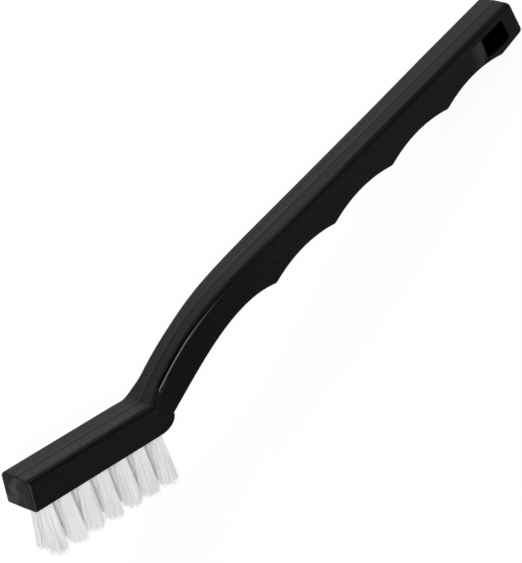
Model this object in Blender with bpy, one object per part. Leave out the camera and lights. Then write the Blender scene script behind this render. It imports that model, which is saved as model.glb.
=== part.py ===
"""A utility brush at its real size: one moulded handle, and 14 bristle tufts folded over metal anchors.

Lengths are in metres. The brush is drawn in its head's frame: +X runs from the head's front end towards
the handle, +Z out of the head's back, and Y from one side face to the other, with the origin on the
front end's top edge at mid-width. An empty then tips it on to the surface that it rests on, where it
stands on its rear tufts and on the lower corner of its tail, with the origin below its middle.
"""

import math

import bmesh
import bpy
import numpy as np
from mathutils import Matrix, Vector
from mathutils.geometry import delaunay_2d_cdt

MM = 0.001

# Tuft holes, and the plastic round them
ROWS = 2
COLUMNS = 7
HOLE_DIAMETER = 3.0 * MM
HOLE_DEPTH = 5.4 * MM
ROW_WEB = 0.8 * MM
COLUMN_WEB = 3.0 * MM
SIDE_WALL = 2.1 * MM
FRONT_WALL = 3.9 * MM
REAR_WALL = 3.7 * MM
BACK_WALL = 3.3 * MM
HOLE_SIDES = 12

# Head, as worked out from its holes
ROW_PITCH = HOLE_DIAMETER + ROW_WEB
COLUMN_PITCH = HOLE_DIAMETER + COLUMN_WEB
WIDTH = ROWS * HOLE_DIAMETER + (ROWS - 1) * ROW_WEB + 2 * SIDE_WALL
FACE_LENGTH = FRONT_WALL + COLUMNS * HOLE_DIAMETER + (COLUMNS - 1) * COLUMN_WEB + REAR_WALL
HEAD_THICKNESS = HOLE_DEPTH + BACK_WALL

# Heel, where the head's underside turns up to the neck, and the crease in the back ahead of it
HEEL_OVERHANG = 6.3 * MM
HEAD_LENGTH = FACE_LENGTH - HEEL_OVERHANG
HEEL_LENGTH = 5.2 * MM
HEEL_HEIGHT = 3.6 * MM
LEDGE = 0.35 * MM
HEEL_STEPS = 6

# Neck, between the crease in the back and the straight grip
HANDLE_RISE = math.radians(15.6)
NECK_STEP = 9.56 * MM
BACK_LEAVES = math.radians(27.8)
KNEE_RUN = 36.2 * MM
KNEE_SLOPE = math.radians(2.0)
BACK_RUN = 70.0 * MM
BELLY_LEAVES = math.radians(18.4)
BELLY_ARRIVES = math.radians(-23.8)
PULL_SHARE = 1 / 3
NECK_STEPS = 9

# Waist, where the neck's back is narrower, from the crease to where the grip's back starts
WAIST_WIDTH = 9.1 * MM
WAIST_FADE_IN = 5.2 * MM
WAIST_LENGTH = 21.0 * MM

# Grip, with scallops for the fingers between its crests
NECK_RUN = 47.76 * MM
SCALLOPS = 4
CREST_PITCH = 23.78 * MM
CREST_DEPTH = 10.65 * MM
TAIL_CREST_DEPTH = 11.1 * MM
SCALLOP_SAG = 1.95 * MM
SCALLOP_STEPS = 8
TAIL_RUN = 9.75 * MM
TAIL_DEPTH = 10.05 * MM
TAIL_LEAN = 0.75 * MM

# Hang hole, right through the tail
HANG_HOLE_TOP = 2.4 * MM
HANG_HOLE_LENGTH = 9.0 * MM
HANG_HOLE_LEAN = 0.6 * MM
TAIL_WALL = 5.0 * MM
BELLY_WALL = 0.94 * MM
HANG_HOLE_ROUND = 0.6 * MM

# Rounding of the edges along both side faces, and of the outline's corners
BACK_EDGE = 1.8 * MM
FRONT_EDGE = 0.6 * MM
TAIL_EDGE = 0.8 * MM
BELLY_EDGE = 0.5 * MM
FRONT_ROUND = 0.8 * MM
UNDER_ROUND = 0.5 * MM
CREST_ROUND = 1.6 * MM
TAIL_ROUND = 1.0 * MM
CREASE_ROUND = 0.4 * MM
FAR_CREASE_ROUND = 5.0 * MM
ROUND_STEPS = 4
EDGE_ANGLES = [math.radians(degrees) for degrees in (90, 60, 30, 0)]
DRAFT = math.radians(1.0)

# Anchors, each a length of flat wire across its hole, with its ends bitten into the wall
ANCHOR_THICKNESS = 0.35 * MM
ANCHOR_HEIGHT = 1.3 * MM
ANCHOR_BITE = 0.45 * MM
FIT_GAP = 0.25 * MM
ANCHOR_GAP = 0.15 * MM

# Tufts: a folded root that fills the hole, and the strands that splay out below it
FOLD = 0.7 * MM
ROOT_PROUD = 0.3 * MM
ROOT_SIDES = 10
STRAND_PITCH = 0.375 * MM
STRAND_RADIUS = 0.15 * MM
STRAND_SIDES = 3
STRAND_LENGTH = 14.4 * MM
TIP_SCATTER = 1.0 * MM
TIP_SPREAD = 2.0 * MM
ROW_SPLAY = 1.0 * MM
SIDE_LEAN = 0.5 * MM
REAR_LEAN = 0.35 * MM
LEAN_SCATTER = 0.25 * MM
FLOOR_TRIM = 0.5 * MM

OVERRUN = 1.0 * MM
SAME_POINT = 1e-5


def on_grip(along, across):
    """A point given along the grip's back from the crease, and across it, as a point of the head's frame."""
    turn = np.array(
        [
            [math.cos(HANDLE_RISE), -math.sin(HANDLE_RISE)],
            [math.sin(HANDLE_RISE), math.cos(HANDLE_RISE)],
        ]
    )
    return np.array([HEAD_LENGTH, 0]) + turn @ np.array([along, NECK_STEP + across])


def direction(angle):
    """The unit vector at an angle above the grip's back, in the head's frame."""
    return np.array([math.cos(HANDLE_RISE + angle), math.sin(HANDLE_RISE + angle)])


def sweep(start, start_way, end, end_way):
    """Points of the even curve that leaves start and arrives at end along the two ways, without its end."""
    pull = PULL_SHARE * np.linalg.norm(end - start)
    first = start + pull * start_way
    second = end - pull * end_way
    points = []
    for t in np.arange(NECK_STEPS) / NECK_STEPS:
        u = 1 - t
        points.append(u**3 * start + 3 * u**2 * t * first + 3 * u * t**2 * second + t**3 * end)
    return points


def scallop(start, end):
    """Points of the arc between two crests that is hollowed to the left of its chord, without its end."""
    chord = end - start
    half = np.linalg.norm(chord) / 2
    radius = (half**2 + SCALLOP_SAG**2) / (2 * SCALLOP_SAG)
    along = chord / (2 * half)
    left = np.array([-along[1], along[0]])
    centre = (start + end) / 2 + left * (SCALLOP_SAG - radius)
    reach = math.asin(half / radius)
    angles = reach * (2 * np.arange(SCALLOP_STEPS) / SCALLOP_STEPS - 1)
    return [centre + radius * (math.sin(a) * along + math.cos(a) * left) for a in angles]


def crests():
    """The crests at the ends of the scallops, each as its place along the grip's back and across it."""
    runs = NECK_RUN + CREST_PITCH * np.arange(SCALLOPS + 1)
    depths = np.linspace(CREST_DEPTH, TAIL_CREST_DEPTH, SCALLOPS + 1)
    return list(np.column_stack([runs, -depths]))


def eased(share):
    """A share from 0 to 1 that starts and ends smoothly."""
    share = np.clip(share, 0, 1)
    return share**2 * (3 - 2 * share)


def back_width(point):
    """The back's width at a point of the side outline, which is less at the waist."""
    waist_end = HEAD_LENGTH + WAIST_FADE_IN + WAIST_LENGTH
    left = eased((point[0] - HEAD_LENGTH) / WAIST_FADE_IN)
    back_again = eased((point[0] - waist_end) / (on_grip(BACK_RUN, 0)[0] - waist_end))
    return WIDTH - (WIDTH - WAIST_WIDTH) * (left - back_again)


def side_outline(crease_round):
    """The handle's side, anticlockwise from the front end's lower corner with +X right and +Z up.

    Each entry holds a corner, the rounding of the edge from it to the next corner, its own rounding, and
    the handle's width there.
    """
    outline = [(np.array([0, -HEAD_THICKNESS]), BELLY_EDGE, UNDER_ROUND, WIDTH)]

    heel_top = HEEL_HEIGHT - HEAD_THICKNESS
    for angle in np.linspace(0, math.pi / 2, HEEL_STEPS + 1):
        x = FACE_LENGTH - HEEL_LENGTH * (1 - math.sin(angle))
        z = heel_top - HEEL_HEIGHT * math.cos(angle)
        outline.append((np.array([x, z]), BELLY_EDGE, 0, WIDTH))
    outline[-1] = (outline[-1][0], 0, 0, WIDTH)

    tops = crests()
    ledge = np.array([FACE_LENGTH - LEDGE, heel_top])
    under = sweep(ledge, direction(BELLY_LEAVES), on_grip(*tops[0]), direction(BELLY_ARRIVES))
    outline += [(point, BELLY_EDGE, 0, WIDTH) for point in under]
    for start, end in zip(tops, tops[1:]):
        arc = [on_grip(*point) for point in scallop(start, end)]
        outline.append((arc[0], BELLY_EDGE, CREST_ROUND, WIDTH))
        outline += [(point, BELLY_EDGE, 0, WIDTH) for point in arc[1:]]
    outline.append((on_grip(*tops[-1]), BELLY_EDGE, CREST_ROUND, WIDTH))

    tail = tops[-1][0] + TAIL_RUN
    outline.append((on_grip(tail, -TAIL_DEPTH), TAIL_EDGE, TAIL_ROUND, WIDTH))
    outline.append((on_grip(tail - TAIL_LEAN, 0), BACK_EDGE, TAIL_ROUND, WIDTH))
    crease = np.array([HEAD_LENGTH, 0])
    knee = on_grip(KNEE_RUN, 0)
    back = sweep(on_grip(BACK_RUN, 0), -direction(0), knee, -direction(KNEE_SLOPE))
    back += sweep(knee, -direction(KNEE_SLOPE), crease, -direction(BACK_LEAVES))
    outline += [(point, BACK_EDGE, 0, back_width(point)) for point in back]
    outline.append((crease, BACK_EDGE, crease_round, WIDTH))
    outline.append((np.array([0, 0]), FRONT_EDGE, FRONT_ROUND, WIDTH))
    return outline


def moved_in(corners, insets):
    """The corners of a closed outline once each of its sides has moved inwards by its own inset."""
    corners = np.array(corners)
    along = np.roll(corners, -1, axis=0) - corners
    along /= np.linalg.norm(along, axis=1)[:, None]
    inward = np.column_stack([-along[:, 1], along[:, 0]])
    moved = []
    for i, corner in enumerate(corners):
        before, after = inward[i - 1], inward[i]
        if insets[i - 1] == insets[i]:
            moved.append(corner + insets[i] * (before + after) / (1 + before @ after))
        else:
            shift = np.linalg.solve(np.array([before, after]), [insets[i - 1], insets[i]])
            moved.append(corner + shift)
    return moved


def rounded(corners, radii, steps):
    """The outline with an arc in place of each corner that has a radius, as wide as its sides allow."""
    points = []
    for i, corner in enumerate(corners):
        if radii[i] == 0:
            points.append(corner)
            continue
        before, after = corners[i - 1] - corner, corners[(i + 1) % len(corners)] - corner
        room = min(np.linalg.norm(before), np.linalg.norm(after)) / 2
        before, after = before / np.linalg.norm(before), after / np.linalg.norm(after)
        half_open = math.acos(np.clip(before @ after, -1, 1)) / 2
        radius = min(radii[i], room * math.tan(half_open))
        middle = (before + after) / np.linalg.norm(before + after)
        centre = corner + middle * radius / math.sin(half_open)
        across = np.array([-middle[1], middle[0]])
        reach = math.pi / 2 - half_open
        side = math.copysign(1, after @ across)
        for share in np.linspace(-1, 1, steps + 1):
            turn = side * share * reach
            points.append(centre - radius * (math.cos(turn) * middle - math.sin(turn) * across))
    return points


def edge_drop(y, radius):
    """How far a rounded edge and the mould's draft have drawn the outline in, at a distance from the middle."""
    past = max(0, abs(y) - (WIDTH / 2 - radius))
    return radius - math.sqrt(max(0, radius**2 - past**2)) + abs(y) * math.tan(DRAFT)


def outline_at(y):
    """The handle's side outline at one distance from the middle, with its edges rounded and its corners too.

    It comes nearer to the middle where the handle is narrower.
    """
    outline = side_outline(FAR_CREASE_ROUND if y > 0 else CREASE_ROUND)
    corners, edges, radii, widths = zip(*outline)
    corners = moved_in(corners, [edge_drop(y, edge) if edge else 0 for edge in edges])
    points = rounded(corners, radii, ROUND_STEPS)
    widths = np.repeat(widths, [ROUND_STEPS + 1 if radius else 1 for radius in radii])
    return [(x, y * width / WIDTH, z) for (x, z), width in zip(points, widths)]


def finish(bm, name):
    """The closed mesh of a bmesh, with its faces pointing outwards."""
    bmesh.ops.recalc_face_normals(bm, faces=bm.faces)
    mesh = bpy.data.meshes.new(name)
    bm.to_mesh(mesh)
    bm.free()
    return mesh


def stacked(name, rings):
    """A solid through rings of points that all have the same count."""
    bm = bmesh.new()
    loops = [[bm.verts.new(point) for point in ring] for ring in rings]
    for lower, upper in zip(loops, loops[1:]):
        for i in range(len(lower)):
            bm.faces.new([lower[i - 1], lower[i], upper[i], upper[i - 1]])
    ends = [bm.faces.new(loops[0]), bm.faces.new(reversed(loops[-1]))]
    bm.normal_update()
    bmesh.ops.triangulate(bm, faces=ends)
    return finish(bm, name)


def handle_mesh():
    """The moulded handle without its holes, as a stack of outlines from one side face to the other."""
    half = [WIDTH / 2 - BACK_EDGE * (1 - math.sin(angle)) for angle in EDGE_ANGLES]
    levels = [-y for y in half] + [0] + half[::-1]
    return stacked("handle", [outline_at(y) for y in levels])


def hang_hole_mesh():
    """The cutter of the window through the tail, which keeps its walls to the tail's end and the belly."""
    tops = crests()
    end = tops[-1][0] + TAIL_RUN - TAIL_LEAN - TAIL_WALL
    start = end - HANG_HOLE_LENGTH
    bottom = np.interp(start, *np.array(scallop(tops[-2], tops[-1])).T) + BELLY_WALL
    corners = [
        on_grip(start, bottom),
        on_grip(end + HANG_HOLE_LEAN, bottom),
        on_grip(end, -HANG_HOLE_TOP),
        on_grip(start, -HANG_HOLE_TOP),
    ]
    window = rounded(corners, [HANG_HOLE_ROUND] * len(corners), ROUND_STEPS)
    reach = WIDTH / 2 + OVERRUN
    return stacked("hang_hole", [[(x, y, z) for x, z in window] for y in (-reach, reach)])


def hole_places():
    """The row, the column and the mouth of each tuft hole."""
    places = []
    for row in range(ROWS):
        for column in range(COLUMNS):
            x = FRONT_WALL + HOLE_DIAMETER / 2 + column * COLUMN_PITCH
            y = (row - (ROWS - 1) / 2) * ROW_PITCH
            places.append((row, column, Vector((x, y, -HEAD_THICKNESS))))
    return places


def tuft_holes_mesh():
    """The cutter of all the tuft holes."""
    bm = bmesh.new()
    depth = HOLE_DEPTH + OVERRUN
    for _, _, mouth in hole_places():
        middle = mouth + Vector((0, 0, HOLE_DEPTH - depth / 2))
        bmesh.ops.create_cone(
            bm,
            cap_ends=True,
            segments=HOLE_SIDES,
            radius1=HOLE_DIAMETER / 2,
            radius2=HOLE_DIAMETER / 2,
            depth=depth,
            matrix=Matrix.Translation(middle),
        )
    return finish(bm, "tuft_holes")


def anchor_size():
    """Length, thickness and height of an anchor."""
    return Vector((HOLE_DIAMETER + 2 * ANCHOR_BITE, ANCHOR_THICKNESS, ANCHOR_HEIGHT))


def anchor_middle(mouth):
    """The middle of the anchor in the hole with this mouth, under the fold of its tuft."""
    height = HOLE_DEPTH - FIT_GAP - FOLD - ANCHOR_GAP - ANCHOR_HEIGHT / 2
    return mouth + Vector((0, 0, height))


def boxes(name, middles, size):
    """One mesh of equal boxes at these places."""
    bm = bmesh.new()
    for middle in middles:
        place = Matrix.Translation(middle) @ Matrix.Diagonal((*size, 1))
        bmesh.ops.create_cube(bm, size=1, matrix=place)
    return finish(bm, name)


def rest_line():
    """The point of the rear tufts that stands on the surface before its trim, and the brush's tilt there."""
    rear = FACE_LENGTH - REAR_WALL - HOLE_DIAMETER / 2 + REAR_LEAN + TIP_SPREAD
    tip = np.array([rear, -HEAD_THICKNESS - STRAND_LENGTH])
    slopes = []
    for x, _, z in outline_at(0):
        away = np.array([x, z]) - tip
        if away[0] > HEAD_THICKNESS:
            reach = np.linalg.norm(away)
            slopes.append(math.atan2(away[1], away[0]) - math.asin(FLOOR_TRIM / reach))
    return tip, min(slopes)


def above_floor(point, tip, tilt):
    """Height of a point of the head's frame above the surface that the brush stands on."""
    away = np.array([point[0], point[2]]) - tip
    return away @ np.array([-math.sin(tilt), math.cos(tilt)]) - FLOOR_TRIM


def strand_places():
    """Where the strands leave the root, in staggered rows that keep half a pitch from its edge."""
    reach = (HOLE_DIAMETER / 2 - FIT_GAP) * math.cos(math.pi / ROOT_SIDES) - STRAND_PITCH / 2
    most = math.ceil(2 * reach / STRAND_PITCH)
    across = STRAND_PITCH * Vector((1, 0))
    askew = STRAND_PITCH * Vector((math.cos(math.pi / 3), math.sin(math.pi / 3)))
    steps = range(-most, most + 1)
    places = [i * across + j * askew for i in steps for j in steps]
    return [place for place in places if place.length < reach]


def polygon(radius, sides):
    """The corners of a regular polygon round the origin."""
    angles = 2 * math.pi * np.arange(sides) / sides
    return [Vector((radius * math.cos(a), radius * math.sin(a))) for a in angles]


def fill_between(bm, loops):
    """Fills a flat face between its outer loop of vertices, the first, and the loops inside it."""
    verts = [vert for loop in loops for vert in loop]
    owners = [i for i, loop in enumerate(loops) for _ in loop]
    index = {vert: i for i, vert in enumerate(verts)}
    rims = [(index[loop[i - 1]], index[loop[i]]) for loop in loops for i in range(len(loop))]
    flat = [vert.co.xy / MM for vert in verts]
    _, _, triangles, sources, _, _ = delaunay_2d_cdt(flat, rims, [], 0, SAME_POINT)
    for triangle in triangles:
        corners = [sources[i][0] for i in triangle]
        touched = {owners[i] for i in corners}
        if 0 in touched or len(touched) > 1:
            bm.faces.new([verts[i] for i in corners])


def tuft_mesh(name, row, column, mouth):
    """A tuft: its root in the hole, and its strands, which splay from the root's lower face to their tips."""
    rng = np.random.default_rng([row, column])
    lean = Vector(rng.uniform(-LEAN_SCATTER, LEAN_SCATTER, 2))
    lean += Vector((REAR_LEAN, (row - (ROWS - 1) / 2) * ROW_SPLAY - SIDE_LEAN))
    tip, tilt = rest_line()
    places = strand_places()
    spread = (TIP_SPREAD - STRAND_RADIUS - LEAN_SCATTER) / max(place.length for place in places)

    bm = bmesh.new()
    face_z = -ROOT_PROUD
    ring = polygon(HOLE_DIAMETER / 2 - FIT_GAP, ROOT_SIDES)
    deep = [bm.verts.new(mouth + point.to_3d() + Vector((0, 0, HOLE_DEPTH - FIT_GAP))) for point in ring]
    face = [bm.verts.new(mouth + point.to_3d() + Vector((0, 0, face_z))) for point in ring]
    bm.faces.new(deep)
    for i in range(ROOT_SIDES):
        bm.faces.new([deep[i - 1], deep[i], face[i], face[i - 1]])

    loops = [face]
    for place in places:
        length = STRAND_LENGTH - rng.uniform(0, TIP_SCATTER)
        run = (place * (spread - 1) + lean).to_3d() + Vector((0, 0, -length - face_z))
        foot = []
        end = []
        for point in polygon(STRAND_RADIUS, STRAND_SIDES):
            start = mouth + (place + point).to_3d() + Vector((0, 0, face_z))
            top, bottom = (above_floor(p, tip, tilt) for p in (start, start + run))
            reach = min(1, top / (top - bottom))
            foot.append(bm.verts.new(start))
            end.append(bm.verts.new(start + run * reach))
        for i in range(STRAND_SIDES):
            bm.faces.new([foot[i - 1], foot[i], end[i], end[i - 1]])
        bm.faces.new(end)
        loops.append(foot)
    fill_between(bm, loops)
    return finish(bm, name)


def material(name, colour, roughness, metallic):
    """A plain material of one colour."""
    made = bpy.data.materials.new(name)
    made.use_nodes = True
    shader = made.node_tree.nodes["Principled BSDF"]
    shader.inputs["Base Color"].default_value = (*colour, 1)
    shader.inputs["Roughness"].default_value = roughness
    shader.inputs["Metallic"].default_value = metallic
    return made


def add(name, mesh, parent, look=None):
    """An object of the brush. One without a look is a cutter, which is neither shown nor kept."""
    obj = bpy.data.objects.new(name, mesh)
    obj.parent = parent
    bpy.context.collection.objects.link(obj)
    if look is None:
        obj.hide_render = True
        obj.display_type = "WIRE"
    else:
        mesh.materials.append(look)
    return obj


def cut(obj, cutter):
    """Takes a cutter's shape out of an object."""
    boolean = obj.modifiers.new(cutter.name, "BOOLEAN")
    boolean.operation = "DIFFERENCE"
    boolean.solver = "EXACT"
    boolean.object = cutter


def set_down(brush, pieces):
    """Tips the brush on to its rear tufts and its tail, and moves it until the origin is below its middle."""
    _, tilt = rest_line()
    turn = Matrix.Rotation(tilt, 4, "Y")
    corners = np.array([turn @ vert.co for piece in pieces for vert in piece.data.vertices])
    low, high = corners.min(axis=0), corners.max(axis=0)
    middle = (low + high) / 2
    brush.matrix_world = Matrix.Translation((-middle[0], -middle[1], -low[2])) @ turn


def main():
    for obj in list(bpy.data.objects):
        bpy.data.objects.remove(obj)

    plastic = material("black_plastic", (0.025, 0.027, 0.03), 0.42, 0)
    nylon = material("white_nylon", (0.82, 0.82, 0.8), 0.35, 0)
    wire = material("anchor_wire", (0.72, 0.66, 0.5), 0.3, 1)

    brush = bpy.data.objects.new("brush", None)
    bpy.context.collection.objects.link(brush)
    places = hole_places()
    middles = [anchor_middle(mouth) for _, _, mouth in places]
    gap = Vector((2 * ANCHOR_GAP, 2 * ANCHOR_GAP, 2 * ANCHOR_GAP))
    hang_hole = add("hang_hole", hang_hole_mesh(), brush)
    tuft_holes = add("tuft_holes", tuft_holes_mesh(), brush)
    anchor_slots = add("anchor_slots", boxes("anchor_slots", middles, anchor_size() + gap), brush)

    handle = add("handle", handle_mesh(), brush, plastic)
    handle.data.shade_smooth()
    handle.data.set_sharp_from_angle(angle=math.radians(25))
    for cutter in (hang_hole, tuft_holes, anchor_slots):
        cut(handle, cutter)

    pieces = [handle]
    for (row, column, mouth), middle in zip(places, middles):
        label = f"row{row + 1}_{column + 1}"
        anchor = add(f"anchor_{label}", boxes(f"anchor_{label}", [middle], anchor_size()), brush, wire)
        tuft = add(f"tuft_{label}", tuft_mesh(f"tuft_{label}", row, column, mouth), brush, nylon)
        cut(tuft, anchor_slots)
        pieces += [anchor, tuft]
    set_down(brush, pieces)


main()
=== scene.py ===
"""The looks of a utility brush: a moulded black handle and 14 tufts of white bristle.

Lengths are in metres, and the sizes of the pieces are given in millimetres times MM. The handle and
the tufts are drawn in the head's frame, as the solids are: +X runs from the head's front end towards
the handle, Y across it, +Z out of its back, with the origin on the front end's top edge at mid-width.
"""

import logging
import math
from dataclasses import dataclass, field
from enum import Enum
from functools import reduce
from typing import Sequence

import bmesh
import bpy
import numpy as np
from mathutils import Matrix, Vector
from mathutils.geometry import delaunay_2d_cdt


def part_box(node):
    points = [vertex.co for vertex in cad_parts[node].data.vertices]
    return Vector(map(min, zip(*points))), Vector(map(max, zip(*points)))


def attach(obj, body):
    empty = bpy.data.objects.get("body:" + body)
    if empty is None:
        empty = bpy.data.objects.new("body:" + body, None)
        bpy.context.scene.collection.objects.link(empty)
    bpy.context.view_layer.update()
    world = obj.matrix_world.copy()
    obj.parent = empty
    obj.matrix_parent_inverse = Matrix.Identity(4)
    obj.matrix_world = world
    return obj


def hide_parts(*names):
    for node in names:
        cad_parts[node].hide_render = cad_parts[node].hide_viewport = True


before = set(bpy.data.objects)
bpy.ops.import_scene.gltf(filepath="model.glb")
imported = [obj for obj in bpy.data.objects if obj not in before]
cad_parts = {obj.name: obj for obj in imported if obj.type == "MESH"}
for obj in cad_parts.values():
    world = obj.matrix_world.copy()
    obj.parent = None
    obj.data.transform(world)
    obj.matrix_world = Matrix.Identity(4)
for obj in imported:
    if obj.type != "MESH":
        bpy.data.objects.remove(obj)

MM = 0.001
BODY = "root"
UP = (0.0, 0.0, 1.0)
WHITE = (1.0, 1.0, 1.0, 1.0)
log = logging.getLogger("utility_brush")

Object = bpy.types.Object
Mesh = bpy.types.Mesh
Material = bpy.types.Material
Node = bpy.types.Node
NodeTree = bpy.types.NodeTree
Socket = bpy.types.NodeSocket
BMesh = bmesh.types.BMesh
Loop = list[bmesh.types.BMVert]
Array = np.ndarray
Value = float | int | bool | str | Sequence[float] | Socket
Triple = tuple[float, float, float]
Colour = Triple
Span = tuple[float, float]
Sizes = tuple[float, ...]
Zone = tuple[tuple[str, float, float], ...]


# Node trees


class Wiring:
    """Adds nodes to one node tree and joins them up."""

    def __init__(self, tree: NodeTree) -> None:
        """Starts on a tree that already has whatever it is to keep."""
        self.tree = tree

    def give(self, node: Node, values: dict) -> None:
        """Sets some of a node's inputs.

        Args:
            node: The node.
            values: A value or another node's socket for each input, by name or number.
        """
        for name, value in values.items():
            if isinstance(value, Socket):
                self.tree.links.new(value, node.inputs[name])
            else:
                node.inputs[name].default_value = value

    def add(self, kind: str, values: dict | None = None, **settings: object) -> Node:
        """Adds a node.

        Args:
            kind: The node's type name.
            values: What goes into its inputs, by name or number.
            settings: The node's own settings.

        Returns:
            The new node.
        """
        node = self.tree.nodes.new(kind)
        for name, setting in settings.items():
            setattr(node, name, setting)
        self.give(node, values or {})
        return node

    def result(self, kind: str, values: dict | None = None, **settings: object) -> Socket:
        """Adds a node and returns its first output."""
        return self.add(kind, values, **settings).outputs[0]

    def math(self, operation: str, *values: Value, clamp: bool = False) -> Socket:
        """Adds a Math node and returns its result."""
        return self.result("ShaderNodeMath", dict(enumerate(values)), operation=operation, use_clamp=clamp)

    def vector(self, operation: str, *values: Value) -> Socket:
        """Adds a Vector Math node and returns its result, a number for a dot product."""
        node = self.add("ShaderNodeVectorMath", dict(enumerate(values)), operation=operation)
        return node.outputs["Value" if operation == "DOT_PRODUCT" else "Vector"]

    def scaled(self, direction: Value, length: Value) -> Socket:
        """A vector times a number."""
        return self.result("ShaderNodeVectorMath", {0: direction, "Scale": length}, operation="SCALE")

    def ramp(self, value: Socket, start: Value, end: Value) -> Socket:
        """A smooth rise from 0 to 1 as the value goes up or down from start to end."""
        values = {"Value": value, "From Min": start, "From Max": end}
        return self.result("ShaderNodeMapRange", values, interpolation_type="SMOOTHSTEP")

    def product(self, first: Value, *others: Value) -> Socket:
        """All the values multiplied."""
        return reduce(lambda so_far, other: self.math("MULTIPLY", so_far, other), others, first)

    def mix(self, share: Value, first: Colour | Socket, second: Colour | Socket) -> Socket:
        """One colour mixed into another by a share."""
        first, second = ((*tone, 1) if isinstance(tone, tuple) else tone for tone in (first, second))
        return self.add("ShaderNodeMix", {0: share, 6: first, 7: second}, data_type="RGBA").outputs[2]

    def noise(self, place: Value, scale: Value, detail: Value) -> Socket:
        """A noise whose values lie about a half."""
        return self.result("ShaderNodeTexNoise", {"Vector": place, "Scale": scale, "Detail": detail})

    def bump(self, height: Socket, distance: float, **below: Socket) -> Socket:
        """The surface's normal, or the one below, with a height in relief."""
        return self.result("ShaderNodeBump", {"Height": height, "Distance": distance, **below})

    def object_place(self) -> Socket:
        """The place of the shaded point in its object."""
        return self.add("ShaderNodeTexCoord").outputs["Object"]

    def group(self, tree: NodeTree, **values: Value) -> Sequence[Socket]:
        """Adds a shared group with its inputs, and returns its outputs."""
        return self.add("ShaderNodeGroup", values, node_tree=tree).outputs


def new_group(name: str, inputs: dict[str, tuple[str, Value]], outputs: dict[str, str]) -> tuple:
    """Makes an empty shader group.

    Args:
        name: The group's name.
        inputs: The kind and the first value of each input, by name.
        outputs: The kind of each output, by name.

    Returns:
        The group, a Wiring for it, its input node's sockets and its output node.
    """
    tree = bpy.data.node_groups.new(name, "ShaderNodeTree")
    for label, (kind, value) in inputs.items():
        socket = tree.interface.new_socket(label, in_out="INPUT", socket_type=kind)
        if value is not None:
            socket.default_value = value
    for label, kind in outputs.items():
        tree.interface.new_socket(label, in_out="OUTPUT", socket_type=kind)
    wiring = Wiring(tree)
    return tree, wiring, wiring.add("NodeGroupInput").outputs, wiring.add("NodeGroupOutput")


def drawn_lines_group(detail: float = 3.0, contrast: Span = (0.25, 0.75)) -> NodeTree:
    """Fine lines along a moulded or drawn surface, as a mask from 0 to 1.

    Args:
        detail: The detail of the noise that they are drawn from.
        contrast: The parts of the noise that show as bare and as a full line.

    Returns:
        A group whose Stretch says how much longer than wide the lines are, along each axis.
    """
    tree, wiring, given, put_out = new_group(
        "drawn_lines",
        {
            "Vector": ("NodeSocketVector", None),
            "Stretch": ("NodeSocketVector", (1.0, 1.0, 1.0)),
            "Scale": ("NodeSocketFloat", 1000.0),
        },
        {"Lines": "NodeSocketFloat"},
    )
    place = wiring.vector("DIVIDE", given["Vector"], given["Stretch"])
    noise = wiring.noise(place, given["Scale"], detail)
    wiring.give(put_out, {"Lines": wiring.ramp(noise, *contrast)})
    return tree


def fine_grain_group(
    details: Span = (4.0, 1.0), speck_size: float = 0.45, speck_level: float = 0.78, hardness: float = 14.0
) -> NodeTree:
    """The fine grain of a surface: its height, and the specks that stand out of it, as masks.

    Args:
        details: The detail of the grain, and of the specks.
        speck_size: The specks' scale beside the grain's.
        speck_level: The level of the noise that nothing but a full cover of specks goes below.
        hardness: How fast a speck rises at its edge.

    Returns:
        A group whose Specks input is the share of the surface that they cover.
    """
    tree, wiring, given, put_out = new_group(
        "fine_grain",
        {
            "Vector": ("NodeSocketVector", None),
            "Scale": ("NodeSocketFloat", 3000.0),
            "Specks": ("NodeSocketFloat", 0.05),
        },
        {"Height": "NodeSocketFloat", "Specks": "NodeSocketFloat"},
    )
    place, scale = given["Vector"], given["Scale"]
    height = wiring.noise(place, scale, details[0])
    dots = wiring.noise(place, wiring.product(scale, speck_size), details[1])
    above = wiring.math("SUBTRACT", dots, wiring.math("SUBTRACT", speck_level, given["Specks"]))
    specks = wiring.math("MULTIPLY", above, hardness, clamp=True)
    wiring.give(put_out, {"Height": height, "Specks": specks})
    return tree


def new_material(name: str) -> tuple[Material, Wiring, Node]:
    """Makes a material with one Principled shader.

    Args:
        name: The material's name.

    Returns:
        The material, a Wiring for its nodes, and the shader.
    """
    made = bpy.data.materials.new(name)
    made.use_nodes = True
    return made, Wiring(made.node_tree), made.node_tree.nodes["Principled BSDF"]


# Places on the brush


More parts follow.
